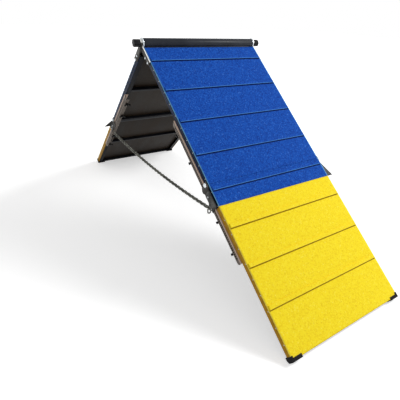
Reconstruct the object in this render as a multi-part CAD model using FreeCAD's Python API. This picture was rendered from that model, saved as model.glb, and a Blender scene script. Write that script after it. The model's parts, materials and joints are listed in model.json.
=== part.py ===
import FreeCAD, Part
import math
import os

V = FreeCAD.Vector

# Dog agility A-frame: two ramps that lean on each other at a ridge, in millimetres.
# World frame: +X points to the front ramp's foot, -Y is the left side, +Z is up.
# The origin lies on the ground under the middle of the ridge.
# A ramp is built flat in its own frame: x runs up the slope from the foot,
# y across it, and z stands square on the walking surface, where z is 0.
# Depth is measured down from the walking surface.

# Ramp as a whole
ramp_length = 2665.0          # foot of the walking surface to the ridge axis, along the slope
ramp_angle = 38.8             # slope of a ramp in degrees
panel_width = 1098.0          # over the edge strips
blue_band_length = 182.0      # lower panel's blue end, below the joint; the rest is contact zone
joint_gap = 2.0               # between the lower and the upper panel

# Layers of a panel
surface_thickness = 4.0       # rubber granules
deck_thickness = 15.0         # plywood
frame_depth = 30.0            # steel tube under the deck
side_tube_width = 40.0
cross_tube_width = 30.0
frame_tube_wall = 2.0
lower_middle_tube_at = 688.0  # lower panel's middle cross tube, from the foot
upper_middle_tube_drop = 576.0    # upper panel's, below its frame's upper end
strip_thickness = 6.0         # edge strip on each side
frame_setback = 66.0          # deck beyond the upper end of the upper frame

# Slats across the walking surface
slat_pitch = 304.8
first_slat_offset = 335.0     # lowest slat's lower edge, from the foot
slat_width = 32.0
slat_height = 10.0
slat_end_margin = 12.0        # from a slat's end to the panel's side
slat_bevel = 3.0
contact_slat_count = 3
joint_slat_setback = 57.6     # lower panel's blue slat, from the joint to its lower edge
upper_slat_count = 4
top_slat_setback = 147.4      # highest slat, from the deck's upper end to its lower edge

# Ridge
tube_radius = 39.0
tube_wall = 4.0
tube_to_deck_gap = 10.0       # running gap between the ridge tube and a deck's end
axle_radius = 10.0
disc_radius = 43.0
disc_thickness = 8.0
arm_thickness = 8.0
arm_gap = 0.3                 # between the arms of the two ramps
arm_eye_radius = 30.0
arm_reach = 205.0             # from the ridge axis down the panel's side
arm_depth = 45.0              # blade's lower edge under the walking surface
arm_chamfer = 12.0
arm_spacer_offset = 105.0     # rear arm's spacer, from the ridge axis down the slope
arm_bolt_places = (130.0, 182.0)   # from the ridge axis down the slope
arm_bolt_depth = 31.0
arm_bolt_radius = 5.0
arm_bolt_head_radius = 10.0
arm_bolt_head_height = 6.0
bolt_end_length = 8.0         # bolt behind the last wall that it passes
knob_radius = 30.0
knob_length = 52.0
knob_flute_radius = 7.0
knob_flute_count = 8
knob_thread_length = 40.0     # axle end inside the knob
knob_bore_spare = 4.0         # bore beyond the axle's end
knob_seat_gap = 0.3
running_clearance = 0.06      # radial, for what turns on a shaft

# Splice rails under the sides, across the joint of the panels
rail_length = 1222.0
rail_height = 52.0
rail_width = 36.0
rail_wall = 3.0
rail_overhang = 7.0           # rail's web beyond the panel's side
rail_toe_radius = 25.0
rail_slot_pitch = 16.5
rail_slot_length = 8.0
rail_slot_height = 28.0
rail_slot_drop = 17.5         # slot's upper end below the rail's upper face
rail_slot_end_margin = 45.0
slide_gap = 0.3               # between the lower panel and the rails it slides along
stud_radius = 5.0
stud_hole_clearance = 0.5
stud_inset = 18.0             # stud axis in from the panel's side
stud_tail = 26.0              # stud beyond the rail
stud_inner_offset = 258.0     # studs from the joint, along the rail
stud_outer_offset = 515.0

# Wing knobs under the rails
wing_seat_gap = 0.3
wing_hub_radius = 11.0
wing_hub_height = 18.0
wing_span = 62.0
wing_thickness = 7.0
wing_height = 30.0
wing_root_height = 5.0
wing_rise = 9.0               # wing's upper edge falls by this from hub to tip
wing_tip_inset = 5.0
wing_valley = 3.0             # wings rise from this far above the hub's end

# Side wings and lugs at the joint
plate_thickness = 6.0
side_wing_setback = 178.0     # from the joint down to the wing's lower edge
side_wing_length = 142.0
side_wing_reach = 71.0        # beyond the panel's side, at the lower edge
side_wing_tip = 14.0          # beyond the panel's side, at the upper end
side_wing_depth = 14.0        # upper face under the walking surface
side_wing_leg_end = 96.0      # leg's lower edge under the walking surface
wing_bolt_places = (35.0, 107.0)   # from the wing's lower edge, along the slope
wing_bolt_drop = 12.0         # bolt axis below the rail's upper face
wing_bolt_radius = 4.0
wing_bolt_head_radius = 8.0
wing_bolt_head_height = 5.5
lug_low = 34.0                # below the joint, along the slope
lug_high = 26.0               # above the joint
lug_top_depth = 8.0
lug_under_rail = 11.0
lug_chamfer = 20.0
lug_bolt_offset = 10.0        # above the joint
lug_bolt_depth = 29.0
lug_bolt_radius = 6.0
lug_collar_radius = 12.0
lug_dome_radius = 19.0
lug_dome_rim = 4.0
lug_dome_height = 14.0

# Eye bolts and chains
eye_setback = 158.0           # eye bolt below the joint, along the slope
eye_drop = 24.0               # eye centre under the rail
eye_radius = 18.0
eye_wire = 9.0
eye_shoulder_radius = 10.0
eye_shoulder_height = 4.0
eye_nut_radius = 9.0
eye_nut_height = 8.0
link_count = 69
link_wire = 8.5
link_inner_width = 13.5
link_play = 0.2
chain_sag = 50.0

# Corner feet
foot_arm = 84.0               # along the panel's lower edge
foot_side_arm = 30.0          # up the panel's side
foot_wall = 4.0
foot_toe = 10.0               # beyond the panel's lower edge
foot_lip = 16.0               # laps over the walking surface
foot_lip_height = 3.0
foot_under = 13.0             # under the frame
foot_flat = 25.0              # width of the flat that rests on the ground

# Worked out from the sizes above
slope = math.radians(ramp_angle)
half_width = panel_width / 2
slide_height = surface_thickness + deck_thickness + frame_depth - slide_gap
board_half = half_width - strip_thickness
deck_depth = surface_thickness + deck_thickness
panel_depth = deck_depth + frame_depth
upper_end = ramp_length - tube_radius - tube_to_deck_gap
panel_length = (upper_end - joint_gap) / 2
contact_length = panel_length - blue_band_length
joint_at = panel_length + joint_gap / 2
upper_start = panel_length + joint_gap
frame_end = upper_end - frame_setback
rail_top = panel_depth
rail_bottom = rail_top + rail_height
rail_outer = half_width + rail_overhang
rail_inner = rail_outer - rail_width
rail_start = joint_at - rail_length / 2
rail_end = rail_start + rail_length
stud_y = half_width - stud_inset
lower_studs = (joint_at - stud_outer_offset, joint_at - stud_inner_offset)
upper_studs = (joint_at + stud_inner_offset, joint_at + stud_outer_offset)
plate_outer = rail_outer + plate_thickness
side_wing_start = joint_at - side_wing_setback
wing_bolt_depth = rail_top + wing_bolt_drop
eye_at = joint_at - eye_setback
eye_y = rail_outer - rail_width / 2
eye_depth = rail_bottom + eye_drop
eye_nut_seat = rail_bottom - rail_wall
foot_bottom = panel_depth + foot_under
foot_cut = foot_flat / (math.tan(slope) + 1 / math.tan(slope))
foot_drop = foot_toe * math.sin(slope) + foot_bottom * math.cos(slope) - foot_cut
ridge_height = foot_drop + ramp_length * math.sin(slope)
foot_run = ramp_length * math.cos(slope)
rear_arm_inner = half_width + arm_thickness + arm_gap
knob_start = rear_arm_inner + arm_thickness + knob_seat_gap


def block(start, end, y_low, y_high, top, bottom):
    """Box in the ramp's frame, between two depths under the walking surface."""
    corner = V(start, y_low, -bottom)
    return Part.makeBox(end - start, y_high - y_low, bottom - top, corner)


def rod_down(along, across, radius, top, bottom):
    """Round bar square to the walking surface."""
    return Part.makeCylinder(radius, bottom - top, V(along, across, -bottom), V(0, 0, 1))


def rod_across(along, depth, radius, y_low, y_high):
    """Round bar across the ramp."""
    return Part.makeCylinder(radius, y_high - y_low, V(along, y_low, -depth), V(0, 1, 0))


def prism_across(points, y_low, y_high):
    """Plate across the ramp: its outline is a list of (along, depth) points."""
    outline = [V(along, y_low, -depth) for along, depth in points]
    face = Part.Face(Part.makePolygon(outline + outline[:1]))
    return face.extrude(V(0, y_high - y_low, 0))


def other_side(shape):
    """The same piece on the ramp's other side."""
    return shape.mirror(V(0, 0, 0), V(0, 1, 0))


def both_sides(shapes):
    """Pieces at positive y, with their mirror images."""
    return list(shapes) + [other_side(s) for s in shapes]


def ramp_matrix(facing):
    """Ramp frame to world: facing is 1 for the front ramp and -1 for the rear one."""
    c = facing * math.cos(slope)
    s = math.sin(slope)
    return FreeCAD.Matrix(
        -c, 0, facing * s, facing * foot_run,
        0, -facing, 0, 0,
        s, 0, math.cos(slope), foot_drop,
        0, 0, 0, 1)


def placed(shape, facing):
    """A piece moved from the ramp's frame into the world."""
    moved = shape.copy()
    moved.Placement = FreeCAD.Placement(ramp_matrix(facing)).multiply(shape.Placement)
    return moved


def to_world(along, across, depth, facing):
    """A point of the ramp's frame in the world."""
    return ramp_matrix(facing).multVec(V(along, across, -depth))


def export(name, shapes):
    """Writes one node: a single solid, or a group of separate ones."""
    node = shapes[0] if len(shapes) == 1 else Part.makeCompound(shapes)
    node.exportStep("parts/" + name + ".step")
    print(name, len(node.Solids), "solids, valid", node.isValid())


# Deck boards
def deck(start, end):
    return block(start, end, -board_half, board_half, surface_thickness, deck_depth)


# Rubber granule layers, over the whole width
def surface(start, end):
    return block(start, end, -half_width, half_width, 0, surface_thickness)


# Slats: bevelled strips that lie across the walking surface
def slat(start):
    half = half_width - slat_end_margin
    flat = Part.Face(Part.makePolygon([
        V(start, -half, 0),
        V(start + slat_width, -half, 0),
        V(start + slat_width, -half, slat_height - slat_bevel),
        V(start + slat_width - slat_bevel, -half, slat_height),
        V(start + slat_bevel, -half, slat_height),
        V(start, -half, slat_height - slat_bevel),
        V(start, -half, 0)]))
    return flat.extrude(V(0, 2 * half, 0))


def contact_slats():
    return [slat(first_slat_offset + n * slat_pitch) for n in range(contact_slat_count)]


def upper_slats():
    highest = upper_end - top_slat_setback
    return [slat(highest - n * slat_pitch) for n in reversed(range(upper_slat_count))]


# Frames: square-cut tubes, two along the sides with three between them
def hollow(start, end, y_low, y_high, bottom, open_along):
    wall = frame_tube_wall
    outer = block(start, end, y_low, y_high, deck_depth, bottom)
    along = 0 if open_along else wall
    across = wall if open_along else 0
    inner = block(start + along, end - along, y_low + across, y_high - across,
                  deck_depth + wall, bottom - wall)
    return outer.cut(inner)


def frame(start, end, middle, bottom, studs):
    half = board_half - side_tube_width
    side = hollow(start, end, half, board_half, bottom, True)
    across = (start, middle - cross_tube_width / 2, end - cross_tube_width)
    tubes = [hollow(s, s + cross_tube_width, -half, half, bottom, False) for s in across]
    welded = [rod_down(s, stud_y, stud_radius, bottom, rail_bottom + stud_tail) for s in studs]
    return both_sides([side.fuse(welded)]) + tubes


# Edge strips: cover the deck's and the frame's sides
def edge_strip(start, end, bottom):
    return block(start, end, board_half, half_width, surface_thickness, bottom)


def upper_edge_strip():
    """Covers the deck alone beyond the frame's upper end, where the ramps fold together."""
    beside_frame = edge_strip(upper_start, frame_end, panel_depth)
    beside_deck = edge_strip(frame_end, upper_end, deck_depth)
    return drilled(beside_frame.fuse(beside_deck).removeSplitter())


# Splice rails: slotted channels, open inwards, their lower corners rounded.
# The lower panel's studs leave through slots that are open at the rail's lower end.
def rail_corner(at, inward):
    rounded = at + inward * rail_toe_radius
    square = block(min(at, rounded), max(at, rounded), rail_inner, rail_outer,
                   rail_bottom - rail_toe_radius, rail_bottom)
    return square.cut(rod_across(rounded, rail_bottom - rail_toe_radius, rail_toe_radius,
                                 rail_inner, rail_outer))


def rail_slots():
    count = int((rail_length - 2 * rail_slot_end_margin) // rail_slot_pitch) + 1
    first = joint_at - (count - 1) * rail_slot_pitch / 2
    top = rail_top + rail_slot_drop
    half_length = rail_slot_length / 2
    centres = [first + n * rail_slot_pitch for n in range(count)]
    return [block(c - half_length, c + half_length, rail_outer - 2 * rail_wall,
                  rail_outer + rail_wall, top, top + rail_slot_height)
            for c in centres]


def splice_rail():
    outer = block(rail_start, rail_end, rail_inner, rail_outer, rail_top, rail_bottom)
    inside = block(rail_start, rail_end, rail_inner, rail_outer - rail_wall,
                   rail_top + rail_wall, rail_bottom - rail_wall)
    hole_radius = stud_radius + stud_hole_clearance
    holes = [rod_down(s, stud_y, hole_radius, rail_top, rail_bottom) for s in upper_studs]
    slot_end = lower_studs[1]
    slot = block(rail_start, slot_end, stud_y - hole_radius, stud_y + hole_radius,
                 rail_top, rail_bottom)
    slot = slot.fuse(rod_down(slot_end, stud_y, hole_radius, rail_top, rail_bottom))
    bolts = [rod_across(s, wing_bolt_depth, wing_bolt_radius, rail_outer - rail_wall, rail_outer)
             for s in wing_bolt_stations()]
    eye_hole = rod_down(eye_at, eye_y, eye_wire / 2, eye_nut_seat, rail_bottom)
    cuts = [inside, slot, eye_hole, rail_corner(rail_start, 1), rail_corner(rail_end, -1)]
    return outer.cut(cuts + rail_slots() + holes + bolts).removeSplitter()


# Lugs: plates welded to the rails' outer side at the joint
def lug():
    low = joint_at - lug_low
    high = joint_at + lug_high
    bottom = rail_bottom + lug_under_rail
    plate = prism_across([
        (low + lug_chamfer, lug_top_depth),
        (high, lug_top_depth),
        (high, bottom - lug_chamfer),
        (high - lug_chamfer, bottom),
        (low + lug_chamfer, bottom),
        (low, bottom - lug_chamfer),
        (low, lug_top_depth + lug_chamfer)], rail_outer, plate_outer)
    return plate.cut(rod_across(joint_at + lug_bolt_offset, lug_bolt_depth, lug_bolt_radius,
                                rail_outer, plate_outer))


# Side wings: bent plates, the wing in the ramp's plane and the leg against the rail
def wing_bolt_stations():
    return [side_wing_start + place for place in wing_bolt_places]


def side_wing():
    start = side_wing_start
    end = start + side_wing_length
    outline = [V(start, rail_outer, 0), V(start, half_width + side_wing_reach, 0),
               V(end, half_width + side_wing_tip, 0), V(end, rail_outer, 0)]
    wing = Part.Face(Part.makePolygon(outline + outline[:1])).extrude(V(0, 0, -plate_thickness))
    wing.translate(V(0, 0, -side_wing_depth))
    leg = block(start, end, rail_outer, plate_outer, side_wing_depth, side_wing_leg_end)
    holes = [rod_across(s, wing_bolt_depth, wing_bolt_radius, rail_outer, plate_outer)
             for s in wing_bolt_stations()]
    return wing.fuse(leg).cut(holes).removeSplitter()


# Wing knobs: a hub with two flared wings, screwed on a stud
def wing_knob(at):
    top = rail_bottom + wing_seat_gap
    side = at - wing_thickness / 2
    half = wing_span / 2
    valley = top + wing_hub_height - wing_valley
    shoulder = top + wing_root_height
    outline = [(-half, shoulder + wing_rise), (-wing_hub_radius / 2, shoulder),
               (wing_hub_radius / 2, shoulder), (half, shoulder + wing_rise),
               (half - wing_tip_inset, top + wing_height), (wing_hub_radius, valley),
               (-wing_hub_radius, valley), (wing_tip_inset - half, top + wing_height)]
    corners = [V(side, stud_y + across, -depth) for across, depth in outline]
    wings = Part.Face(Part.makePolygon(corners + corners[:1])).extrude(V(wing_thickness, 0, 0))
    hub = rod_down(at, stud_y, wing_hub_radius, top, top + wing_hub_height)
    bore = rod_down(at, stud_y, stud_radius + running_clearance, top, top + wing_height)
    return hub.fuse(wings).cut(bore).removeSplitter()


# Hinge arms: flat bars with an eye on the ridge axle. The rear ramp's arms lie outside
# the front ramp's arms and stand on spacers.
def hinge_arm(inner_face, bore_radius, spacer):
    outer_face = inner_face + arm_thickness
    low = ramp_length - arm_reach
    eye = rod_across(ramp_length, 0, arm_eye_radius, inner_face, outer_face)
    blade = prism_across([
        (low, 0),
        (ramp_length, 0),
        (ramp_length, arm_eye_radius),
        (ramp_length - arm_depth, arm_depth),
        (low + arm_chamfer, arm_depth),
        (low, arm_depth - arm_chamfer)], inner_face, outer_face)
    arm = eye.fuse(blade)
    if spacer:
        arm = arm.fuse(block(low + arm_chamfer, ramp_length - arm_spacer_offset,
                             half_width, inner_face, 0, arm_depth))
    bore = rod_across(ramp_length, 0, bore_radius, inner_face, outer_face)
    holes = [rod_across(s, arm_bolt_depth, arm_bolt_radius, half_width, outer_face)
             for s in arm_bolt_stations()]
    return arm.cut([bore] + holes).removeSplitter()


def arm_bolt_stations():
    return [ramp_length - place for place in arm_bolt_places]


# Bolts across the ramp: hexagonal head outside, shank through the walls
def hexagon(at, depth, radius, y_low, y_high):
    corners = [(at + radius * math.cos(math.radians(60 * n)),
                depth + radius * math.sin(math.radians(60 * n))) for n in range(6)]
    return prism_across(corners, y_low, y_high)


def arm_bolt(at, arm_face):
    head = hexagon(at, arm_bolt_depth, arm_bolt_head_radius, arm_face,
                   arm_face + arm_bolt_head_height)
    inner_end = board_half - frame_tube_wall - bolt_end_length
    return head.fuse(rod_across(at, arm_bolt_depth, arm_bolt_radius, inner_end, arm_face))


def wing_bolt(at):
    head = hexagon(at, wing_bolt_depth, wing_bolt_head_radius, plate_outer,
                   plate_outer + wing_bolt_head_height)
    inner_end = rail_outer - rail_wall - bolt_end_length
    return head.fuse(rod_across(at, wing_bolt_depth, wing_bolt_radius, inner_end, plate_outer))


def dome_bolt():
    at = joint_at + lug_bolt_offset
    face = V(at, plate_outer, -lug_bolt_depth)
    rise = lug_dome_height - lug_dome_rim
    ball_radius = (lug_dome_radius ** 2 + rise ** 2) / (2 * rise)
    ball = Part.makeSphere(ball_radius, face + V(0, lug_dome_height - ball_radius, 0), V(0, 1, 0))
    dome = Part.makeCylinder(lug_dome_radius, lug_dome_height, face, V(0, 1, 0)).common(ball)
    inner_end = board_half - frame_tube_wall - bolt_end_length
    shank = rod_across(at, lug_bolt_depth, lug_bolt_radius, inner_end, plate_outer)
    collar = rod_across(at, lug_bolt_depth, lug_collar_radius, half_width, rail_outer)
    return dome.fuse([shank, collar]).removeSplitter()


def bolts(arm_face):
    arms = [arm_bolt(s, arm_face) for s in arm_bolt_stations()]
    wings = [wing_bolt(s) for s in wing_bolt_stations()]
    return both_sides(arms + wings + [dome_bolt()])


def drilled(strip_or_tube):
    """Clears the side bolts' holes in an edge strip or a frame of the upper panel."""
    holes = [rod_across(s, arm_bolt_depth, arm_bolt_radius, board_half - side_tube_width / 2,
                        half_width) for s in arm_bolt_stations()]
    holes.append(rod_across(joint_at + lug_bolt_offset, lug_bolt_depth, lug_bolt_radius,
                            board_half - side_tube_width / 2, half_width))
    return strip_or_tube.cut(both_sides(holes))


# Eye bolts: their shoulder sits under the rail, the nut inside it
def eye_bolt():
    centre = V(eye_at, eye_y, -eye_depth)
    ring = Part.makeTorus(eye_radius, eye_wire / 2, centre, V(0, 1, 0))
    shoulder = rod_down(eye_at, eye_y, eye_shoulder_radius, rail_bottom,
                        rail_bottom + eye_shoulder_height)
    shank = rod_down(eye_at, eye_y, eye_wire / 2, eye_nut_seat - eye_nut_height,
                     eye_depth - eye_radius)
    return ring.fuse([shoulder, shank]).removeSplitter()


def eye_nut():
    corners = [V(eye_at + eye_nut_radius * math.cos(math.radians(60 * n)),
                 eye_y + eye_nut_radius * math.sin(math.radians(60 * n)),
                 -eye_nut_seat) for n in range(6)]
    nut = Part.Face(Part.makePolygon(corners + corners[:1])).extrude(V(0, 0, eye_nut_height))
    return nut.cut(rod_down(eye_at, eye_y, eye_wire / 2, eye_nut_seat - eye_nut_height,
                            eye_nut_seat))


# Corner feet: caps around the panel's lower corners, cut flat where they meet the ground
def foot():
    top = -foot_lip_height
    outer = block(-foot_toe, foot_side_arm, half_width - foot_arm, half_width + foot_wall,
                  top, foot_bottom)
    panel = block(0, foot_side_arm, half_width - foot_arm, half_width, 0, slide_height)
    notch = block(foot_lip, foot_side_arm, half_width - foot_arm, half_width - foot_lip, top, 0)
    inner = block(foot_lip, foot_side_arm, half_width - foot_arm, board_half - side_tube_width,
                  slide_height, foot_bottom)
    cap = outer.cut([panel, notch, inner])
    ground = Part.makeBox(2 * ramp_length, 2 * panel_width, ramp_length,
                          V(-ramp_length, -panel_width, -ramp_length))
    ground.Placement = FreeCAD.Placement(ramp_matrix(1).inverse()).multiply(ground.Placement)
    return cap.cut(ground)


# Chains: links that stand and lie by turns, from eye to eye
def link(inner_length):
    reach = inner_length / 2 - link_inner_width / 2
    across = (link_inner_width + link_wire) / 2
    parts = []
    for side in (1, -1):
        start = V(side * reach, across, 0)
        parts.append(Part.makeCylinder(link_wire / 2, 2 * reach, V(-reach, side * across, 0),
                                       V(1, 0, 0)))
        section = Part.Face(Part.Wire(Part.makeCircle(link_wire / 2, start, V(1, 0, 0))))
        parts.append(section.revolve(V(side * reach, 0, 0), V(0, 0, -side), 180))
    return parts[0].fuse(parts[1:]).removeSplitter()


def chain_height(x):
    """How far a link at x hangs below the eyes."""
    return chain_sag * (1 - (x / eye_centre.x) ** 2)


def chain(side, inner_length, reach):
    links = []
    for n in range(link_count):
        x = reach * (1 - 2 * n / (link_count - 1))
        lean = math.degrees(math.atan(2 * chain_sag * x / eye_centre.x ** 2))
        turn = FreeCAD.Rotation(V(0, 1, 0), -lean)
        turn = turn.multiply(FreeCAD.Rotation(V(1, 0, 0), 90 * (n % 2)))
        piece = link(inner_length) if not links else links[0].copy()
        place = V(x, side * eye_y, eye_centre.z - chain_height(x))
        piece.Placement = FreeCAD.Placement(place, turn)
        links.append(piece)
    return links


def tail_link(side, inner_length, reach):
    """Spare link that hangs from the front end's second link, across the chain."""
    x = reach * (1 - 2 / (link_count - 1))
    seat = eye_centre.z - chain_height(x) - link_inner_width / 2 + link_play
    place = V(x, side * eye_y, seat - inner_length / 2)
    piece = link(inner_length)
    piece.Placement = FreeCAD.Placement(place, FreeCAD.Rotation(V(0, 1, 0), 90))
    return piece


# Ridge: tube, axle with welded end discs, and a fluted knob on each end of the axle
def ridge_tube():
    half = half_width - disc_thickness
    axis = V(0, -half, ridge_height)
    outer = Part.makeCylinder(tube_radius, 2 * half, axis, V(0, 1, 0))
    return outer.cut(Part.makeCylinder(tube_radius - tube_wall, 2 * half, axis, V(0, 1, 0)))


def ridge_axle():
    end = knob_start + knob_thread_length
    axle = Part.makeCylinder(axle_radius, 2 * end, V(0, -end, ridge_height), V(0, 1, 0))
    discs = [Part.makeCylinder(disc_radius, disc_thickness, V(0, y, ridge_height), V(0, 1, 0))
             for y in (half_width - disc_thickness, -half_width)]
    return axle.fuse(discs).removeSplitter()


def ridge_knob(side):
    base = V(0, side * knob_start, ridge_height)
    out = V(0, side, 0)
    knob = Part.makeCylinder(knob_radius, knob_length, base, out)
    flutes = []
    for n in range(knob_flute_count):
        angle = math.radians(360 / knob_flute_count * (n + 0.5))
        shift = V(math.cos(angle), 0, math.sin(angle)) * (knob_radius + knob_flute_radius / 2)
        flutes.append(Part.makeCylinder(knob_flute_radius, knob_length, base + shift, out))
    bore = Part.makeCylinder(axle_radius + running_clearance,
                             knob_thread_length + knob_bore_spare, base, out)
    return knob.cut(flutes + [bore])


def ramp_nodes(rear):
    """The pieces of one ramp in its own frame, by name."""
    arm_inner = rear_arm_inner if rear else half_width
    bore = axle_radius + (running_clearance if rear else 0)
    arm = hinge_arm(arm_inner, bore, rear)
    upper_middle = frame_end - upper_middle_tube_drop
    upper_frame = frame(upper_start, frame_end, upper_middle, panel_depth, upper_studs)
    blue_strip = edge_strip(contact_length, panel_length, slide_height)
    return {
        "upper_deck": [deck(upper_start, upper_end)],
        "upper_surface": [surface(upper_start, upper_end)],
        "upper_slats": upper_slats(),
        "upper_frame": [drilled(tube) for tube in upper_frame],
        "upper_edge_strips": both_sides([upper_edge_strip()]),
        "lower_deck": [deck(0, panel_length)],
        "lower_surface": [surface(contact_length, panel_length)],
        "lower_slat": [slat(panel_length - joint_slat_setback)],
        "contact_surface": [surface(0, contact_length)],
        "contact_slats": contact_slats(),
        "lower_frame": frame(0, panel_length, lower_middle_tube_at, slide_height, lower_studs),
        "lower_edge_strips": both_sides([blue_strip]),
        "contact_edge_strips": both_sides([edge_strip(0, contact_length, slide_height)]),
        "rails": both_sides([splice_rail(), lug()]),
        "hinge_arms": both_sides([arm]),
        "bolts": bolts(arm_inner + arm_thickness),
        "side_wings": both_sides([side_wing()]),
        "chain_eyes": both_sides([eye_bolt(), eye_nut()]),
        "feet": both_sides([foot()])}


os.makedirs("parts", exist_ok=True)
eye_centre = to_world(eye_at, eye_y, eye_depth, 1)
link_steps = link_count - 1
chain_reach = (eye_centre.x - eye_radius + eye_wire / 2 + link_play / 2) / (1 + 1 / link_steps)
link_inner_length = 2 * chain_reach / link_steps + link_play

for ramp, facing in (("front", 1), ("rear", -1)):
    for name, shapes in ramp_nodes(facing < 0).items():
        export(ramp + "_" + name, [placed(s, facing) for s in shapes])
    for side, world_side in (("left", -1), ("right", 1)):
        for number, at in enumerate(lower_studs + upper_studs, 1):
            knob = wing_knob(at)
            if world_side * facing > 0:
                knob = other_side(knob)
            export(f"{ramp}_{side}_wing_knob_{number}", [placed(knob, facing)])

export("ridge_tube", [ridge_tube()])
export("ridge_axle", [ridge_axle()])
export("left_ridge_knob", [ridge_knob(-1)])
export("right_ridge_knob", [ridge_knob(1)])
for name, side in (("left_chain", -1), ("right_chain", 1)):
    links = chain(side, link_inner_length, chain_reach)
    links.append(tail_link(side, link_inner_length, chain_reach))
    export(name, links)
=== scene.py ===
import json
import math
import bmesh
import bpy
from mathutils import Matrix, Vector


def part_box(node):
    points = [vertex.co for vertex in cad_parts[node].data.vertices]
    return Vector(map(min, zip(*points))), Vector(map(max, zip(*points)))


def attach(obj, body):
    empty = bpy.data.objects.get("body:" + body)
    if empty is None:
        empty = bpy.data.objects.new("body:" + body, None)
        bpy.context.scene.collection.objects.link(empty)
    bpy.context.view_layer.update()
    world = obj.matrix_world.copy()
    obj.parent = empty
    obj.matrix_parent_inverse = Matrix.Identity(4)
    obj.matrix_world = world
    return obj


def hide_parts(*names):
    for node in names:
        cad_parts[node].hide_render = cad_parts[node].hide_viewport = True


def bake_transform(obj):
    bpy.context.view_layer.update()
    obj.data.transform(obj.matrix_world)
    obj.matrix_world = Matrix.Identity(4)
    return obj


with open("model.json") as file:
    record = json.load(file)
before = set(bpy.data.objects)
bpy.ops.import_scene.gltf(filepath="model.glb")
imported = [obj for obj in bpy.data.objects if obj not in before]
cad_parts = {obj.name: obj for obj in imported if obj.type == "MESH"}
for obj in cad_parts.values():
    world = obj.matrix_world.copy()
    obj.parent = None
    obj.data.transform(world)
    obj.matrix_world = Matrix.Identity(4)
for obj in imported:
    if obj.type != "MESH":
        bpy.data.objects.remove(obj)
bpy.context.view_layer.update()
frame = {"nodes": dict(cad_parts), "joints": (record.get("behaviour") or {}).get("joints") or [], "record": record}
mm = 0.001


# Camera: it stands to the left of the front ramp's foot, a little above the ridge, and looks
# down along the slope. The picture is a cut-out of a wider one, so its axis lies off centre.
picture_pixels = 400
focal_pixels = 372.07
axis_pixel = (260.61, 202.95)
camera_place = Vector((3.2019, -1.7596, 1.9688))
camera_yaw = -0.9018
camera_pitch = -0.4693
camera_roll = 0.0532
sensor_width = 36.0

forward = Vector((math.cos(camera_pitch) * math.sin(camera_yaw),
                  math.cos(camera_pitch) * math.cos(camera_yaw), math.sin(camera_pitch)))
level = Vector((math.cos(camera_yaw), -math.sin(camera_yaw), 0))
upward = level.cross(forward)
right = math.cos(camera_roll) * level + math.sin(camera_roll) * upward
top = math.cos(camera_roll) * upward - math.sin(camera_roll) * level
lens = bpy.data.cameras.new("camera")
lens.sensor_width = sensor_width
lens.lens = sensor_width * focal_pixels / picture_pixels
lens.shift_x = 0.5 - axis_pixel[0] / picture_pixels
lens.shift_y = axis_pixel[1] / picture_pixels - 0.5
camera = bpy.data.objects.new("camera", lens)
camera.matrix_world = Matrix.Translation(camera_place) @ Matrix(
    (right, top, -forward)).transposed().to_4x4()
bpy.context.scene.collection.objects.link(camera)
bpy.context.scene.camera = camera


# Chains: two welded steel chains, one on each side, hold the ramps at their slope. The links
# stand and lie by turns, dull grey, each with a weld on one leg. The row sags a little between
# its eye bolts, and a spare link hangs from the front end.
def linear(code):
    """An sRGB hex colour as linear red, green, blue and alpha."""
    channels = [int(code[n:n + 2], 16) / 255 for n in (1, 3, 5)]
    return tuple(c / 12.92 if c <= 0.04045 else ((c + 0.055) / 1.055) ** 2.4
                 for c in channels) + (1.0,)


def add(tree, kind, inputs=None, **settings):
    """Adds a node: its settings, then its inputs, as values or as links from other sockets."""
    made = tree.nodes.new(kind)
    for name, value in settings.items():
        setattr(made, name, value)
    for name, value in (inputs or {}).items():
        for source in value if isinstance(value, list) else [value]:
            if isinstance(source, bpy.types.NodeSocket):
                tree.links.new(source, made.inputs[name])
            else:
                made.inputs[name].default_value = source
    return made


def calc(tree, operation, *values):
    """One sum in a tree, of values or sockets."""
    return add(tree, "ShaderNodeMath", dict(enumerate(values)), operation=operation).outputs[0]


def vector(tree, x=0.0, y=0.0, z=0.0):
    return add(tree, "ShaderNodeCombineXYZ", {0: x, 1: y, 2: z}).outputs[0]


def parts_of(tree, socket):
    """The x, y and z of a vector."""
    return add(tree, "ShaderNodeSeparateXYZ", {0: socket}).outputs


def tones(tree, factor, *stops):
    """A colour ramp: each stop is a place and a hex colour."""
    made = add(tree, "ShaderNodeValToRGB", {0: factor})
    points = made.color_ramp.elements
    for number, (place, colour) in enumerate(stops):
        point = points[number] if number < 2 else points.new(place)
        point.position = place
        point.color = linear(colour)
    return made.outputs[0]


def tint(tree, share, below, above):
    """Mixes two colours by a share from 0 to 1."""
    return add(tree, "ShaderNodeMix", {"Factor": share, 6: below, 7: above},
               data_type="RGBA").outputs[2]


def step(tree, value, low, high):
    """Rises from 0 to 1 as the value goes from low to high."""
    return add(tree, "ShaderNodeMapRange", {0: value, 1: low, 2: high}).outputs[0]


def material(name):
    """A new material with its principled shader and the piece's own coordinates."""
    made = bpy.data.materials.new(name)
    made.use_nodes = True
    tree = made.node_tree
    return made, tree, tree.nodes["Principled BSDF"], add(tree, "ShaderNodeTexCoord").outputs


def finish_shader(tree, shader, colour, roughness, height, depth, gloss=0.2):
    """Links a colour, a roughness and a bump into a principled shader."""
    shader.inputs["Specular IOR Level"].default_value = gloss
    tree.links.new(colour, shader.inputs["Base Color"])
    tree.links.new(roughness, shader.inputs["Roughness"])
    bump = add(tree, "ShaderNodeBump", {"Strength": 0.5, "Distance": depth, "Height": height})
    tree.links.new(bump.outputs[0], shader.inputs["Normal"])


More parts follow.
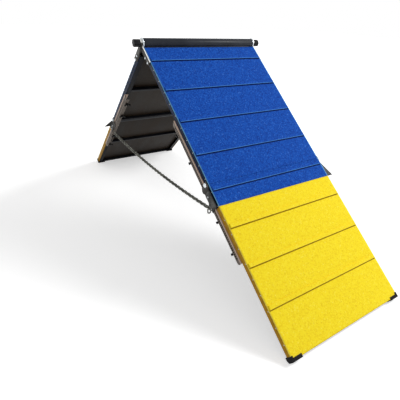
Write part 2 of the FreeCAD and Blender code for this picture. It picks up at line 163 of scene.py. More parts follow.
def rule(name, **sockets):
    """A geometry tree with named inputs. Each input is given with its kind of socket."""
    tree = bpy.data.node_groups.new(name, "GeometryNodeTree")
    for label, kind in sockets.items():
        tree.interface.new_socket(label, in_out="INPUT", socket_type="NodeSocket" + kind)
    tree.interface.new_socket("Material", in_out="INPUT", socket_type="NodeSocketMaterial")
    tree.interface.new_socket("Geometry", in_out="OUTPUT", socket_type="NodeSocketGeometry")
    return tree, add(tree, "NodeGroupInput").outputs


def close_rule(tree, given, geometry):
    """Ends a tree: instances made real, smooth faces, the material set."""
    real = add(tree, "GeometryNodeRealizeInstances", {0: geometry})
    smooth = add(tree, "GeometryNodeSetShadeSmooth", {0: real.outputs[0]})
    finished = add(tree, "GeometryNodeSetMaterial",
                   {"Geometry": smooth.outputs[0], "Material": given["Material"]})
    add(tree, "NodeGroupOutput", {0: finished.outputs[0]})


def grow(name, tree, **values):
    """Runs a tree once and keeps its result as a plain mesh object."""
    carrier = bpy.data.objects.new(name + "_rule", bpy.data.meshes.new(name + "_rule"))
    bpy.context.scene.collection.objects.link(carrier)
    modifier = carrier.modifiers.new("rule", "NODES")
    modifier.node_group = tree
    for socket in tree.interface.items_tree:
        if socket.in_out == "INPUT":
            modifier[socket.identifier] = values[socket.name]
    graph = bpy.context.evaluated_depsgraph_get()
    mesh = bpy.data.meshes.new_from_object(carrier.evaluated_get(graph), depsgraph=graph)
    carrier.modifiers.remove(modifier)
    bpy.data.objects.remove(carrier)
    made = bpy.data.objects.new(name, mesh)
    mesh.name = name
    bpy.context.scene.collection.objects.link(made)
    return made


def galvanised(name, colour, dark, roughness, spangle=14 * mm, metal=0.85, marks=None):
    """Zinc on steel: dull grey crystals a few millimetres wide, with duller patches. Marks is
    a function that paints more over them: painted highlights, and on the rails the darker lugs."""
    made, tree, shader, place = material(name)
    crystals = add(tree, "ShaderNodeTexVoronoi", {"Vector": place["Object"], "Scale": 1 / spangle})
    patches = add(tree, "ShaderNodeTexNoise", {"Vector": place["Object"], "Scale": 9.0,
                                               "Detail": 6.0}).outputs[0]
    grey = add(tree, "ShaderNodeSeparateColor", {0: crystals.outputs["Color"]}).outputs[0]
    mixed = calc(tree, "MULTIPLY_ADD", grey, 0.4, calc(tree, "MULTIPLY", patches, 0.6))
    rough = add(tree, "ShaderNodeMapRange", {0: patches, 1: 0.3, 2: 0.7, 3: roughness - 0.08,
                                             4: roughness + 0.12}).outputs[0]
    grain = add(tree, "ShaderNodeTexNoise", {"Vector": place["Object"], "Scale": 700.0})
    zinc = tones(tree, mixed, (0.2, dark), (0.75, colour))
    if marks:
        zinc = marks(tree, place, zinc)
    finish_shader(tree, shader, zinc, rough, grain.outputs[0], 0.15 * mm)
    shader.inputs["Metallic"].default_value = metal
    return made


chain_steel = galvanised("galvanised_chain_steel", "#86867e", "#383834", 0.4)
link_count = 69
link_wire = 10 * mm
link_inner_width = 14 * mm
link_play = 0.2 * mm
chain_sag = 50 * mm
eye_radius = 18 * mm
eye_wire = 9 * mm
link_corners = 22
wire_sides = 10
weld_swelling = 0.58

chain_rule, given = rule("chain", Count="Int", Reach="Float", Span="Float", Sag="Float",
                         Side="Float", Height="Float", Length="Float", Width="Float",
                         Wire="Float", Spare_Link="Vector")
bend_radius = calc(chain_rule, "MULTIPLY", calc(chain_rule, "ADD", given["Width"], given["Wire"]),
                   0.5)
bend_shift = calc(chain_rule, "MULTIPLY",
                  calc(chain_rule, "SUBTRACT", given["Length"], given["Width"]), 0.5)
loop = add(chain_rule, "GeometryNodeCurvePrimitiveCircle", {
    "Resolution": link_corners, "Radius": bend_radius})
loop_x = parts_of(chain_rule, add(chain_rule, "GeometryNodeInputPosition").outputs[0])[0]
oval = add(chain_rule, "GeometryNodeSetPosition", {
    0: loop.outputs[0], "Offset": vector(chain_rule, calc(
        chain_rule, "MULTIPLY", calc(chain_rule, "SIGN", loop_x), bend_shift))})
wire = add(chain_rule, "GeometryNodeCurvePrimitiveCircle", {
    "Resolution": wire_sides, "Radius": calc(chain_rule, "MULTIPLY", given["Wire"], 0.5)})
bent_wire = add(chain_rule, "GeometryNodeCurveToMesh", {0: oval.outputs[0], 1: wire.outputs[0]})
weld = add(chain_rule, "GeometryNodeMeshUVSphere", {
    "Segments": wire_sides, "Rings": 6,
    "Radius": calc(chain_rule, "MULTIPLY", given["Wire"], weld_swelling)})
placed_weld = add(chain_rule, "GeometryNodeTransform", {
    0: weld.outputs[0], "Translation": vector(chain_rule, y=bend_radius),
    "Scale": (0.55, 1.0, 1.0)})
one_link = add(chain_rule, "GeometryNodeJoinGeometry", {0: [bent_wire.outputs[0],
                                                            placed_weld.outputs[0]]}).outputs[0]
spacing = calc(chain_rule, "DIVIDE", calc(chain_rule, "MULTIPLY", given["Reach"], -2.0),
               calc(chain_rule, "SUBTRACT", given["Count"], 1.0))
row = add(chain_rule, "GeometryNodeMeshLine", {
    "Count": given["Count"], "Start Location": vector(chain_rule, given["Reach"], given["Side"]),
    "Offset": vector(chain_rule, spacing)})
row_x = parts_of(chain_rule, add(chain_rule, "GeometryNodeInputPosition").outputs[0])[0]
share = calc(chain_rule, "DIVIDE", row_x, given["Span"])
drop = calc(chain_rule, "MULTIPLY", given["Sag"],
            calc(chain_rule, "SUBTRACT", 1.0, calc(chain_rule, "POWER", share, 2.0)))
hung = add(chain_rule, "GeometryNodeSetPosition", {
    0: row.outputs[0], "Offset": vector(chain_rule, z=calc(chain_rule, "SUBTRACT",
                                                           given["Height"], drop))})
lean = calc(chain_rule, "ARCTANGENT", calc(
    chain_rule, "DIVIDE", calc(chain_rule, "MULTIPLY", share, calc(
        chain_rule, "MULTIPLY", given["Sag"], -2.0)), given["Span"]))
turn = calc(chain_rule, "MULTIPLY", calc(
    chain_rule, "MODULO", add(chain_rule, "GeometryNodeInputIndex").outputs[0], 2.0), math.pi / 2)
links = add(chain_rule, "GeometryNodeInstanceOnPoints", {
    "Points": hung.outputs[0], "Instance": one_link, "Rotation": vector(chain_rule, turn, lean)})
spare = add(chain_rule, "GeometryNodeTransform", {
    0: one_link, "Translation": given["Spare_Link"], "Rotation": (0, math.pi / 2, 0)})
close_rule(chain_rule, given, add(chain_rule, "GeometryNodeJoinGeometry", {
    0: [links.outputs[0], spare.outputs[0]]}).outputs[0])

eye_outside = eye_radius + eye_wire / 2
eye_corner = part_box("front_chain_eyes")[0]
eye_x = eye_corner.x + eye_outside
eye_z = eye_corner.z + eye_outside
link_steps = link_count - 1
chain_reach = (eye_x - eye_radius + eye_wire / 2 + link_play / 2) / (1 + 1 / link_steps)
link_length = 2 * chain_reach / link_steps + link_play
spare_x = chain_reach * (1 - 2 / link_steps)
spare_drop = (chain_sag * (1 - (spare_x / eye_x) ** 2) + link_inner_width / 2 - link_play
              + link_length / 2)
for side in ("left", "right"):
    low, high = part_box(side + "_chain")
    chain_y = (low.y + high.y) / 2
    chain = grow(side + "_height_chain", chain_rule, Count=link_count, Reach=chain_reach,
                 Span=eye_x, Sag=chain_sag, Side=chain_y, Height=eye_z, Length=link_length,
                 Width=link_inner_width, Wire=link_wire,
                 Spare_Link=(spare_x, chain_y, eye_z - spare_drop), Material=chain_steel)
    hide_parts(side + "_chain")
    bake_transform(chain)


# Boards: film-faced birch plywood, one to a panel. The hot-pressed film is nearly black-brown,
# with a faint wire-mesh print, and is rubbed paler along the slope. The ends show the veneers.
surface_thickness = 4 * mm
facings = {"front": 1, "rear": -1}
slope = {}
for ramp, facing in facings.items():
    slide = next(j for j in frame["joints"] if j["name"] == ramp + "_panel_slide")
    up_slope = -Vector(slide["axis"])
    inward = Vector((-facing * up_slope.z, 0, facing * up_slope.x))
    low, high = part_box(ramp + "_contact_surface")
    foot_place = Vector((high.x if facing > 0 else low.x, 0,
                         low.z + surface_thickness * abs(up_slope.x)))
    slope[ramp] = Matrix.Translation(foot_place) @ Matrix(
        (up_slope, inward.cross(up_slope), inward)).transposed().to_4x4()
slope_sine = up_slope.z
slope_cosine = abs(up_slope.x)
foot_run = abs(foot_place.x)
foot_rise = foot_place.z
veneer = 1.4 * mm


def slope_place(tree, place):
    """How far a point lies up the slope from the foot, across it and under the surface."""
    x, y, z = parts_of(tree, place["Object"])
    out = calc(tree, "SUBTRACT", foot_run, calc(tree, "ABSOLUTE", x))
    up = calc(tree, "SUBTRACT", z, foot_rise)
    along = calc(tree, "ADD", calc(tree, "MULTIPLY", out, slope_cosine),
                 calc(tree, "MULTIPLY", up, slope_sine))
    depth = calc(tree, "SUBTRACT", calc(tree, "MULTIPLY", out, slope_sine),
                 calc(tree, "MULTIPLY", up, slope_cosine))
    return along, y, depth


def slope_normal(tree, place):
    """How much a face looks up the slope or down it, and how much it looks out of it."""
    side = calc(tree, "SIGN", parts_of(tree, place["Object"])[0])
    x, y, z = parts_of(tree, place["Normal"])
    out = calc(tree, "MULTIPLY", x, side)
    along = calc(tree, "SUBTRACT", calc(tree, "MULTIPLY", z, slope_sine),
                 calc(tree, "MULTIPLY", out, slope_cosine))
    outward = calc(tree, "ADD", calc(tree, "MULTIPLY", z, slope_cosine),
                   calc(tree, "MULTIPLY", out, slope_sine))
    return along, outward


def body_with(node):
    return next(b for b, nodes in frame["record"]["behaviour"]["bodies"].items() if node in nodes)


def fit(piece, node):
    """The piece moves as the node does and stands in its place."""
    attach(piece, body_with(node))
    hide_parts(node)


def softened(node, name, finish, radius, steps=2):
    """A copy of a piece's solid with its hard edges rounded off."""
    mesh = frame["nodes"][node].data.copy()
    mesh.name = name
    work = bmesh.new()
    work.from_mesh(mesh)
    bmesh.ops.remove_doubles(work, verts=work.verts, dist=0.01 * mm)
    bmesh.ops.dissolve_limit(work, angle_limit=math.radians(0.5), verts=work.verts,
                             edges=work.edges)
    for face in work.faces:
        face.smooth = True
    work.to_mesh(mesh)
    work.free()
    mesh.materials.clear()
    mesh.materials.append(finish)
    piece = bpy.data.objects.new(name, mesh)
    bpy.context.scene.collection.objects.link(piece)
    rounding = piece.modifiers.new("rounded_edges", "BEVEL")
    rounding.width = radius
    rounding.segments = steps
    rounding.limit_method = "ANGLE"
    rounding.angle_limit = math.radians(32)
    rounding.harden_normals = True
    fit(piece, node)
    return piece


board_film, tree, shader, place = material("film_faced_birch_plywood")
along, across, depth = slope_place(tree, place)
streaks = add(tree, "ShaderNodeTexNoise", {
    "Vector": vector(tree, calc(tree, "MULTIPLY", along, 1.5), calc(tree, "MULTIPLY", across, 9.0),
                     calc(tree, "MULTIPLY", depth, 9.0)),
    "Scale": 1.0, "Detail": 8.0, "Roughness": 0.65}).outputs[0]
plies = calc(tree, "PINGPONG", depth, veneer)
plies = tones(tree, calc(tree, "DIVIDE", plies, veneer), (0.35, "#7d5c38"), (0.65, "#c09a66"))
board_end = step(tree, calc(tree, "ABSOLUTE", slope_normal(tree, place)[0]), 0.8, 0.9)
film = tones(tree, streaks, (0.35, "#1d1711"), (0.75, "#2c231a"))
print_lines = calc(tree, "MULTIPLY", calc(tree, "SINE", calc(tree, "MULTIPLY", along, 1500.0)),
                   calc(tree, "SINE", calc(tree, "MULTIPLY", across, 1500.0)))
finish_shader(tree, shader, tint(tree, board_end, film, plies),
              add(tree, "ShaderNodeMapRange", {0: streaks, 3: 0.35, 4: 0.65}).outputs[0],
              print_lines, 0.1 * mm, gloss=0.08)
for ramp in facings:
    for panel in ("upper", "lower"):
        softened(f"{ramp}_{panel}_deck", f"{ramp}_{panel}_board", board_film, 0.8 * mm)


# Frames: flat steel tubes under the boards, welded into ladders and powder-coated black. The
# coating has a fine orange peel and holds dust. Rippled weld beads run round the cross tubes.
def powder_coat(name, colour, dusty, roughness=0.45):
    made, tree, shader, place = material(name)
    dust = add(tree, "ShaderNodeTexNoise", {"Vector": place["Object"], "Scale": 7.0,
                                            "Detail": 7.0}).outputs[0]
    rough = add(tree, "ShaderNodeMapRange", {0: dust, 3: roughness - 0.08, 4: roughness + 0.2})
    peel = add(tree, "ShaderNodeTexNoise", {"Vector": place["Object"], "Scale": 300.0})
    finish_shader(tree, shader, tones(tree, dust, (0.4, colour), (0.8, dusty)), rough.outputs[0],
                  peel.outputs[0], 0.1 * mm, gloss=0.1)
    return made


black_coat = powder_coat("black_powder_coat", "#0d0f15", "#1c1d21")
panel_length = 1.307
joint_gap = 2 * mm
upper_start = panel_length + joint_gap
upper_end = upper_start + panel_length
weld_bead = 2.2 * mm
beads_in_seam = 12
cross_tube = 30 * mm
tube_depth = 30 * mm
deck_depth = 19 * mm
inside_half = 503 * mm
cross_tubes = {"lower": (0.015, 0.688, 1.292), "upper": (1.324, 1.974, 2.535)}

bead_rule, given = rule("weld_beads", First="Float", Second="Float", Third="Float",
                        Tube_Width="Float", Tube_Depth="Float", Top="Float", Half="Float",
                        Bead="Float", Count="Int", Seed="Int")
gap = calc(bead_rule, "MULTIPLY", given["Half"], 2.0)
bottom = calc(bead_rule, "ADD", given["Top"], given["Tube_Depth"])
flat_seams = add(bead_rule, "GeometryNodeMeshGrid", {
    "Size X": given["Tube_Width"], "Size Y": gap, "Vertices X": given["Count"], "Vertices Y": 2})
flat_seams = add(bead_rule, "GeometryNodeTransform", {
    0: flat_seams.outputs[0], "Translation": vector(bead_rule, z=bottom)})
tube_corners = add(bead_rule, "GeometryNodeMeshGrid", {
    "Size X": given["Tube_Width"], "Size Y": gap, "Vertices X": 2, "Vertices Y": 2})
upright = add(bead_rule, "GeometryNodeMeshLine", {
    "Count": given["Count"], "Start Location": vector(bead_rule, z=given["Top"]),
    "Offset": vector(bead_rule, z=calc(bead_rule, "DIVIDE", given["Tube_Depth"], calc(
        bead_rule, "SUBTRACT", given["Count"], 1.0)))})
upright_seams = add(bead_rule, "GeometryNodeRealizeInstances", {
    0: add(bead_rule, "GeometryNodeInstanceOnPoints", {
        "Points": tube_corners.outputs[0], "Instance": upright.outputs[0]}).outputs[0]})
seams = add(bead_rule, "GeometryNodeJoinGeometry", {0: [flat_seams.outputs[0],
                                                       upright_seams.outputs[0]]}).outputs[0]
all_seams = [add(bead_rule, "GeometryNodeTransform", {
    0: seams, "Translation": vector(bead_rule, given[label])}).outputs[0]
    for label in ("First", "Second", "Third")]
drop_of_weld = add(bead_rule, "GeometryNodeMeshIcoSphere", {"Radius": given["Bead"],
                                                            "Subdivisions": 2})
swelling = add(bead_rule, "FunctionNodeRandomValue", {
    2: 0.8, 3: 1.15, "Seed": given["Seed"]}, data_type="FLOAT").outputs[1]
beads = add(bead_rule, "GeometryNodeInstanceOnPoints", {
    "Points": add(bead_rule, "GeometryNodeJoinGeometry", {0: all_seams}).outputs[0],
    "Instance": drop_of_weld.outputs[0], "Scale": swelling})
close_rule(bead_rule, given, beads.outputs[0])

for ramp in facings:
    for seed, panel in enumerate(("upper", "lower")):
        node = f"{ramp}_{panel}_frame"
        softened(node, f"{ramp}_{panel}_welded_frame", black_coat, 2 * mm)
        first, second, third = cross_tubes[panel]
        beads = grow(f"{ramp}_{panel}_weld_beads", bead_rule, First=first, Second=second,
                     Third=third, Tube_Width=cross_tube, Tube_Depth=tube_depth, Top=deck_depth,
                     Half=inside_half, Bead=weld_bead, Count=beads_in_seam, Seed=seed,
                     Material=black_coat)
        beads.data.transform(slope[ramp])
        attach(beads, body_with(node))


# Edge strips: flat painted strips screwed to the sides of the panels, navy beside the blue
# rubber and ochre beside the yellow, each with a row of small bright pan-head screws. The navy
# is taken nearly to black, which paints in the shade that falls on these side faces.
def painted_strip(name, colour, worn):
    made, tree, shader, place = material(name)
    wear = add(tree, "ShaderNodeTexNoise", {"Vector": place["Object"], "Scale": 22.0,
                                            "Detail": 8.0}).outputs[0]
    rough = add(tree, "ShaderNodeMapRange", {0: wear, 3: 0.4, 4: 0.65})
    finish_shader(tree, shader, tones(tree, wear, (0.45, colour), (0.8, worn)), rough.outputs[0],
                  wear, 0.3 * mm, gloss=0.08)
    return made


# Navy paint darkened nearly to black: painted shade on the strips' side faces.
navy_shade_strip = painted_strip("navy_painted_shade_strip", "#091830", "#10284c")
ochre_strip = painted_strip("ochre_edge_strip", "#b98a1c", "#8f6712")
zinc_screw = galvanised("zinc_plated_screw", "#d5d9dd", "#a2a6aa", 0.25, spangle=3 * mm)
half_width = 549 * mm
screw_rule, given = rule("screw_rows", First="Float", Pitch="Float", Count="Int",
                         Half_Width="Float", Depth="Float", Radius="Float", Height="Float")
run = calc(screw_rule, "MULTIPLY", given["Pitch"],
           calc(screw_rule, "SUBTRACT", given["Count"], 1.0))
rows = add(screw_rule, "GeometryNodeMeshGrid", {
    "Size X": run, "Size Y": calc(screw_rule, "MULTIPLY", given["Half_Width"], 2.0),
    "Vertices X": given["Count"], "Vertices Y": 2})
rows = add(screw_rule, "GeometryNodeTransform", {
    0: rows.outputs[0], "Translation": vector(screw_rule, calc(
        screw_rule, "MULTIPLY_ADD", run, 0.5, given["First"]), 0.0, given["Depth"])})
pan_head = add(screw_rule, "GeometryNodeMeshUVSphere", {"Segments": 14, "Rings": 8, "Radius": 1.0})
pan_head = add(screw_rule, "GeometryNodeTransform", {
    0: pan_head.outputs[0],
    "Scale": vector(screw_rule, given["Radius"], given["Height"], given["Radius"])})
heads = add(screw_rule, "GeometryNodeInstanceOnPoints", {
    "Points": rows.outputs[0], "Instance": pan_head.outputs[0]})
close_rule(screw_rule, given, heads.outputs[0])

screw_rows = {"lower": (0.106, 11), "upper": (1.36, 10)}
screw_pitch = 114 * mm
screw_depth = 11 * mm
screw_radius = 4 * mm
screw_height = 2.2 * mm
for ramp in facings:
    softened(ramp + "_upper_edge_strips", ramp + "_upper_side_strips", navy_shade_strip, 1 * mm)
    softened(ramp + "_lower_edge_strips", ramp + "_lower_side_strips", navy_shade_strip, 1 * mm)
    softened(ramp + "_contact_edge_strips", ramp + "_contact_side_strips", ochre_strip, 1 * mm)
    for panel, (first, count) in screw_rows.items():
        screws = grow(f"{ramp}_{panel}_strip_screws", screw_rule, First=first,
                      Pitch=screw_pitch, Count=count, Half_Width=half_width, Depth=screw_depth,
                      Radius=screw_radius, Height=screw_height, Material=zinc_screw)
        screws.data.transform(slope[ramp])
        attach(screws, body_with(f"{ramp}_{panel}_deck"))


# Rubber sheets: coloured rubber crumb bound with resin and glued over the boards, yellow on
# the contact zone and blue above it. Crumbs stand a little proud of the face. The rims and the
# lower edge of each slat's top carry a paler painted highlight, faces that look down the slope
# carry painted shade, and a band of painted shadow lies on the sheet under each slat.
contact_length = 1.125
slat_pitch = 304.8 * mm
first_slat = 335 * mm
# Widths of the painted shadow under each slat, of the painted highlight on each slat's lower edge and of the
# painted highlight on the sheets' rims.
slat_shadow_band = 8 * mm
slat_highlight_band = 4 * mm
rim_highlight_band = 7 * mm


def rubber_crumb(name, shades, shade_colour, slat_highlight_colour, rim_highlight_colour, crumb=8 * mm):
    """Crumbs of one colour and many shades, drawn at twice their size so that they show."""
    made, tree, shader, place = material(name)
    crumbs = add(tree, "ShaderNodeTexVoronoi", {"Vector": place["Object"], "Scale": 1 / crumb})
    shade = add(tree, "ShaderNodeSeparateColor", {0: crumbs.outputs["Color"]}).outputs[0]
    clumps = add(tree, "ShaderNodeTexNoise", {"Vector": place["Object"], "Scale": 45.0,
                                              "Detail": 6.0, "Roughness": 0.75}).outputs[0]
    mixed = calc(tree, "MULTIPLY_ADD", shade, 0.6, calc(tree, "MULTIPLY", clumps, 0.4))
    colour = tones(tree, mixed, *shades)
    along, across, depth = slope_place(tree, place)
    facing_up, outward = slope_normal(tree, place)
    from_slat = calc(tree, "SUBTRACT", calc(tree, "MODULO", calc(
        tree, "ADD", along, 2 * slat_pitch + slat_shadow_band - first_slat), slat_pitch), slat_shadow_band)
    past_foot = calc(tree, "GREATER_THAN", along, slat_pitch / 2)
    near_slat = calc(tree, "MULTIPLY", past_foot, calc(tree, "LESS_THAN", from_slat, slat_highlight_band))
    # Painted highlight along the lower edge of each slat's top.
    slat_highlight = calc(tree, "MULTIPLY", near_slat, calc(
        tree, "MULTIPLY", step(tree, outward, 0.4, 0.6), step(tree, depth, -6 * mm, -7 * mm)))
    # Painted shadow: a band on the sheet just below each slat, in the shade colour.
    slat_shadow = calc(tree, "MULTIPLY", near_slat, calc(
        tree, "MULTIPLY", calc(tree, "LESS_THAN", from_slat, 0.0),
        step(tree, depth, -4 * mm, -3 * mm)))
    # Painted shade on faces that look down the slope: the slats' lower sides and the sheets' foot ends.
    down_slope_shade = calc(tree, "MULTIPLY", step(tree, facing_up, -0.4, -0.6), calc(
        tree, "MAXIMUM", near_slat, calc(tree, "LESS_THAN", along, 1 * mm)))
    # Painted highlight along the sheets' side rims and on their side faces.
    rim_highlight = step(tree, calc(tree, "ABSOLUTE", across), half_width - rim_highlight_band,
               half_width - rim_highlight_band / 2)
    colour = tint(tree, calc(tree, "MAXIMUM", down_slope_shade, slat_shadow), colour, linear(shade_colour))
    colour = tint(tree, slat_highlight, colour, linear(slat_highlight_colour))
    colour = tint(tree, rim_highlight, colour, linear(rim_highlight_colour))
    grains = add(tree, "ShaderNodeTexVoronoi", {"Vector": place["Object"], "Scale": 250.0})
    finish_shader(tree, shader, colour, calc(tree, "MULTIPLY_ADD", shade, 0.15, 0.75),
                  calc(tree, "ADD", grains.outputs["Distance"], clumps), 1.5 * mm, gloss=0.1)
    return made


# Each crumb gets its tones, then the colour of its painted shade, of its slats' painted highlight and of its rims'
# painted highlight.
blue_crumb = rubber_crumb(
    "blue_rubber_crumb", ((0.15, "#0b358a"), (0.95, "#568ada"), (0.45, "#124aa8"),
                          (0.75, "#1c56b6")),
    "#0a2460", "#4a86cc", "#6fb0dc")
yellow_crumb = rubber_crumb(
    "yellow_rubber_crumb", ((0.1, "#ecca1e"), (0.95, "#fff06e"), (0.4, "#f9de24"),
                            (0.75, "#fbe42e")), "#a5860c", "#fbe23c", "#ffe65a")

sheet_rule, given = rule("rubber_sheet", Start="Float", End="Float", Half_Width="Float",
                         Thickness="Float", Cell="Float", Relief="Float", Crumbs="Float",
                         Crumb_Size="Float", Seed="Int")
sheet_length = calc(sheet_rule, "SUBTRACT", given["End"], given["Start"])
sheet_width = calc(sheet_rule, "MULTIPLY", given["Half_Width"], 2.0)
slab = add(sheet_rule, "GeometryNodeMeshCube", {
    "Size": vector(sheet_rule, sheet_length, sheet_width, given["Thickness"]),
    "Vertices X": calc(sheet_rule, "DIVIDE", sheet_length, given["Cell"]),
    "Vertices Y": calc(sheet_rule, "DIVIDE", sheet_width, given["Cell"]), "Vertices Z": 2})
seated = add(sheet_rule, "GeometryNodeSetPosition", {
    0: slab.outputs[0], "Offset": vector(sheet_rule, calc(
        sheet_rule, "MULTIPLY", calc(sheet_rule, "ADD", given["Start"], given["End"]), 0.5),
        0.0, calc(sheet_rule, "MULTIPLY", given["Thickness"], 0.5))})
sheet_place = add(sheet_rule, "GeometryNodeInputPosition").outputs[0]
upper_face = add(sheet_rule, "FunctionNodeCompare", {
    0: parts_of(sheet_rule, sheet_place)[2],
    1: calc(sheet_rule, "MULTIPLY", given["Thickness"], 0.5)}, operation="LESS_THAN")
swell = add(sheet_rule, "ShaderNodeTexNoise", {"Vector": sheet_place, "Scale": 60.0})
raised = add(sheet_rule, "GeometryNodeSetPosition", {
    0: seated.outputs[0], "Selection": upper_face.outputs[0],
    "Offset": vector(sheet_rule, z=calc(sheet_rule, "MULTIPLY", calc(
        sheet_rule, "SUBTRACT", 0.5, swell.outputs[0]), given["Relief"]))})
strewn = add(sheet_rule, "GeometryNodeDistributePointsOnFaces", {
    0: raised.outputs[0], "Selection": upper_face.outputs[0], "Density": given["Crumbs"],
    "Seed": given["Seed"]})
crumb = add(sheet_rule, "GeometryNodeMeshIcoSphere", {"Radius": given["Crumb_Size"],
                                                      "Subdivisions": 1})
spin = add(sheet_rule, "FunctionNodeRandomValue", {
    0: (0, 0, 0), 1: (2 * math.pi,) * 3, "Seed": given["Seed"]}, data_type="FLOAT_VECTOR")
stretch = add(sheet_rule, "FunctionNodeRandomValue", {
    0: (0.5, 0.5, 0.35), 1: (1.2, 1.0, 0.7), "Seed": given["Seed"]}, data_type="FLOAT_VECTOR")
crumbs_set = add(sheet_rule, "GeometryNodeInstanceOnPoints", {
    "Points": strewn.outputs[0], "Instance": crumb.outputs[0], "Rotation": spin.outputs[0],
    "Scale": stretch.outputs[0]})
close_rule(sheet_rule, given, add(sheet_rule, "GeometryNodeJoinGeometry", {
    0: [raised.outputs[0], crumbs_set.outputs[0]]}).outputs[0])

sheet_cell = 12 * mm
sheet_relief = 1.2 * mm
joint_reach = 0.8 * mm
crumbs_per_area = 2200.0
crumb_size = 3 * mm
sheets = (("contact", 0, contact_length, yellow_crumb),
          ("lower", contact_length, panel_length + joint_reach, blue_crumb),
          ("upper", upper_start - joint_reach, upper_end, blue_crumb))
for ramp in facings:
    for seed, (zone, start, end, finish) in enumerate(sheets):
        sheet = grow(f"{ramp}_{zone}_rubber", sheet_rule, Start=start, End=end,
                     Half_Width=half_width, Thickness=surface_thickness, Cell=sheet_cell,
                     Relief=sheet_relief, Crumbs=crumbs_per_area, Crumb_Size=crumb_size,
                     Seed=seed, Material=finish)
        sheet.data.transform(slope[ramp])
        fit(sheet, f"{ramp}_{zone}_surface")


# Slats: rubber-coated battens, rounded along their edges, 12 inches apart and stopped short
# of the sides. The one above the contact zone sits on the lower panel, near the joint.
slat_width = 32 * mm
slat_height = 10 * mm
slat_half_length = 537 * mm
slat_rounding = 3 * mm
slat_rule, given = rule("slats", Count="Int", First="Float", Pitch="Float", Width="Float",
                        Height="Float", Half_Length="Float", Rounding="Float")
section = add(slat_rule, "GeometryNodeCurvePrimitiveQuadrilateral", {
    "Width": given["Width"], "Height": calc(slat_rule, "MULTIPLY", given["Height"], 2.0)})
rounded = add(slat_rule, "GeometryNodeFilletCurve", {
    0: section.outputs[0], "Radius": given["Rounding"], "Limit Radius": True, "Count": 4},
    mode="POLY")
span = add(slat_rule, "GeometryNodeCurvePrimitiveLine", {
    "Start": vector(slat_rule, y=calc(slat_rule, "MULTIPLY", given["Half_Length"], -1.0)),
    "End": vector(slat_rule, y=given["Half_Length"])})
steps = add(slat_rule, "GeometryNodeResampleCurve", {0: span.outputs[0], "Count": 60})
batten = add(slat_rule, "GeometryNodeCurveToMesh", {0: steps.outputs[0], 1: rounded.outputs[0],
                                                    "Fill Caps": True})
batten_place = parts_of(slat_rule, add(slat_rule, "GeometryNodeInputPosition").outputs[0])
flat_base = add(slat_rule, "GeometryNodeSetPosition", {
    0: batten.outputs[0], "Position": vector(slat_rule, batten_place[0], batten_place[1], calc(
        slat_rule, "MINIMUM", batten_place[2], 0.0))})
places = add(slat_rule, "GeometryNodeMeshLine", {
    "Count": given["Count"], "Start Location": vector(slat_rule, calc(
        slat_rule, "MULTIPLY_ADD", given["Width"], 0.5, given["First"])),
    "Offset": vector(slat_rule, given["Pitch"])})
battens = add(slat_rule, "GeometryNodeInstanceOnPoints", {
    "Points": places.outputs[0], "Instance": flat_base.outputs[0]})
close_rule(slat_rule, given, battens.outputs[0])

rows = (("contact", "contact_slats", first_slat, 3, yellow_crumb),
        ("joint", "lower_slat", first_slat + 3 * slat_pitch, 1, blue_crumb),
        ("upper", "upper_slats", first_slat + 4 * slat_pitch, 4, blue_crumb))
for ramp in facings:
    for zone, node, first, count, finish in rows:
        slats = grow(f"{ramp}_{zone}_battens", slat_rule, Count=count, First=first,
                     Pitch=slat_pitch, Width=slat_width, Height=slat_height,
                     Half_Length=slat_half_length, Rounding=slat_rounding, Material=finish)
        slats.data.transform(slope[ramp])
        fit(slats, f"{ramp}_{node}")


# Splice rails, lugs and wings: folded steel, slotted and drilled. The rails are dull zinc, the
# lugs and the wings darker. They bolt under the panels' sides and carry them across the joint.
rail_top = deck_depth + tube_depth
# Depth of the painted highlight along the top of each rail's web.
highlight_band = 17 * mm
rail_overhang = 7 * mm
web_face = half_width + rail_overhang


def rail_highlight_and_lugs(tree, place, colour):
    """A painted highlight, pale along the top of the web where light catches it, and dark on the lugs that stand
    outside it.
    """
    depth = slope_place(tree, place)[2]
    across = calc(tree, "ABSOLUTE", parts_of(tree, place["Object"])[1])
    web_highlight = step(tree, depth, rail_top + highlight_band, rail_top + highlight_band / 2)
    outside = step(tree, across, web_face + 0.5 * mm, web_face + 1 * mm)
    colour = tint(tree, web_highlight, colour, linear("#bfa999"))
    return tint(tree, outside, colour, linear("#3a3835"))


def arm_edge_highlight(tree, place, colour):
    """Painted highlight: the narrow edge that looks out of the slope is painted near white, where light catches
    it.
    """
    return tint(tree, step(tree, slope_normal(tree, place)[1], 0.7, 0.8), colour,
                linear("#f4f4f0"))


rail_zinc = galvanised("galvanised_rail_steel", "#837970", "#4a433d", 0.55, metal=0.4,
                       marks=rail_highlight_and_lugs)
arm_steel = galvanised("dull_arm_steel", "#44413d", "#2a2825", 0.5, metal=0.2, marks=arm_edge_highlight)
wing_steel = galvanised("dark_wing_steel", "#41413f", "#1f1f1e", 0.5, metal=0.4)
bright_zinc = galvanised("bright_zinc_plate", "#e3e9ec", "#b4babd", 0.28, spangle=5 * mm)
for ramp in facings:
    softened(ramp + "_rails", ramp + "_splice_rails", rail_zinc, 0.4 * mm)
    softened(ramp + "_side_wings", ramp + "_bent_side_wings", wing_steel, 1 * mm)
    softened(ramp + "_chain_eyes", ramp + "_forged_eye_bolts", chain_steel, 0.4 * mm)
    softened(ramp + "_bolts", ramp + "_dome_and_hex_bolts", bright_zinc, 0.6 * mm)
    softened(ramp + "_hinge_arms", ramp + "_ridge_arms", arm_steel, 1 * mm)


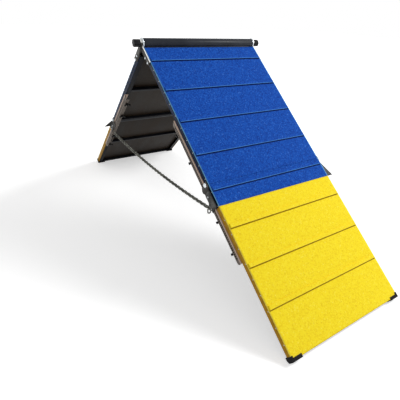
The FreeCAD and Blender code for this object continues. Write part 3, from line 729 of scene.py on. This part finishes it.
# Wing knobs: black glass-filled nylon moulded round brass nuts, four along each side of a ramp.
# Their wings swell to the thickness of a moulding that fingers can turn.
def moulded(name, colour, roughness=0.5):
    made, tree, shader, place = material(name)
    shade = add(tree, "ShaderNodeTexNoise", {"Vector": place["Object"], "Scale": 90.0,
                                             "Detail": 5.0}).outputs[0]
    rough = add(tree, "ShaderNodeMapRange", {0: shade, 3: roughness - 0.1, 4: roughness + 0.1})
    finish_shader(tree, shader, tones(tree, shade, (0.3, colour), (0.9, "#232325")),
                  rough.outputs[0], shade, 0.1 * mm, gloss=0.12)
    return made


black_nylon = moulded("black_moulded_nylon", "#0b0b0c")
wing_half = 3.5 * mm
wing_swell = 4.5 * mm
knob_bore_half = 8 * mm
for ramp in facings:
    for side in ("left", "right"):
        for number in range(1, 5):
            node = f"{ramp}_{side}_wing_knob_{number}"
            knob = softened(node, node + "_moulded", black_nylon, 2 * mm, steps=3)
            up_slope = slope[ramp].col[0].to_3d()
            places = [vertex.co.dot(up_slope) for vertex in knob.data.vertices]
            knob_axis = (min(places) + max(places)) / 2
            middle = sum(vertex.co.y for vertex in knob.data.vertices) / len(places)
            for vertex, at in zip(knob.data.vertices, places):
                on_wing = abs(abs(at - knob_axis) - wing_half) < 0.1 * mm
                if on_wing and abs(vertex.co.y - middle) > knob_bore_half:
                    vertex.co += up_slope * math.copysign(wing_swell, at - knob_axis)


# Ridge: a dark enamelled steel tube on its axle, with a bright welded disc at each end and a
# fluted knob outside.
tube_enamel = powder_coat("anthracite_enamel", "#26292f", "#33363c", 0.32)
softened("ridge_tube", "ridge_roller_tube", tube_enamel, 0.5 * mm)
softened("ridge_axle", "ridge_axle_and_discs", bright_zinc, 1.5 * mm)
for side in ("left", "right"):
    softened(side + "_ridge_knob", side + "_fluted_knob", black_nylon, 2.5 * mm, steps=3)


# Feet: black rubber caps moulded over the bottom corners of the ramps.
black_rubber = moulded("black_foot_rubber", "#161616", 0.75)
for ramp in facings:
    softened(ramp + "_feet", ramp + "_corner_caps", black_rubber, 3 * mm, steps=3)


# Floor and lights: a white studio floor that keeps the shadow near the object and fades into
# the white background, a broad soft lamp high on the far right and a weak one on the left.
floor_half = 40.0
ambient = 0.4
floor_lift = 0.5
fade_start = 2.2
fade_end = 4.5


def seen_directly(tree):
    """1 for what the camera sees, straight or in metal and glass."""
    path = add(tree, "ShaderNodeLightPath").outputs
    return calc(tree, "MAXIMUM", path["Is Camera Ray"], calc(
        tree, "MAXIMUM", path["Is Glossy Ray"], path["Is Transmission Ray"]))


floor_mesh = bpy.data.meshes.new("studio_floor")
floor_mesh.from_pydata([(-floor_half, -floor_half, 0), (floor_half, -floor_half, 0),
                        (floor_half, floor_half, 0), (-floor_half, floor_half, 0)], [],
                       [(0, 1, 2, 3)])
floor = bpy.data.objects.new("studio_floor", floor_mesh)
bpy.context.scene.collection.objects.link(floor)
paper, tree, shader, place = material("white_paper_floor")
shader.inputs["Base Color"].default_value = (0.85, 0.85, 0.85, 1)
shader.inputs["Roughness"].default_value = 0.9
shader.inputs["Emission Color"].default_value = (1, 1, 1, 1)
distance = add(tree, "ShaderNodeVectorMath", {0: place["Object"]}, operation="LENGTH")
fade = step(tree, distance.outputs["Value"], fade_start, fade_end)
tree.links.new(calc(tree, "MULTIPLY", seen_directly(tree), calc(
    tree, "MULTIPLY_ADD", fade, 1 - floor_lift, floor_lift)), shader.inputs["Emission Strength"])
floor_mesh.materials.append(paper)

world = bpy.data.worlds.new("studio_light")
world.use_nodes = True
bpy.context.scene.world = world
tree = world.node_tree
background = tree.nodes["Background"]
background.inputs["Color"].default_value = (1, 1, 1, 1)
tree.links.new(calc(tree, "MULTIPLY_ADD", seen_directly(tree), 1 - ambient, ambient),
               background.inputs["Strength"])


def lamp(name, place, aim, size, power):
    light = bpy.data.lights.new(name, "AREA")
    light.size = size
    light.energy = power
    made = bpy.data.objects.new(name, light)
    made.location = place
    made.rotation_euler = (Vector(aim) - Vector(place)).to_track_quat("-Z", "Y").to_euler()
    bpy.context.scene.collection.objects.link(made)


lamp("key_lamp", (4.5, 6.0, 6.5), (0.3, 0, 0.8), 3.0, 620)
lamp("fill_lamp", (2.0, -7.0, 4.0), (0, 0, 0.8), 4.0, 30)
bpy.context.scene.view_settings.view_transform = "Standard"
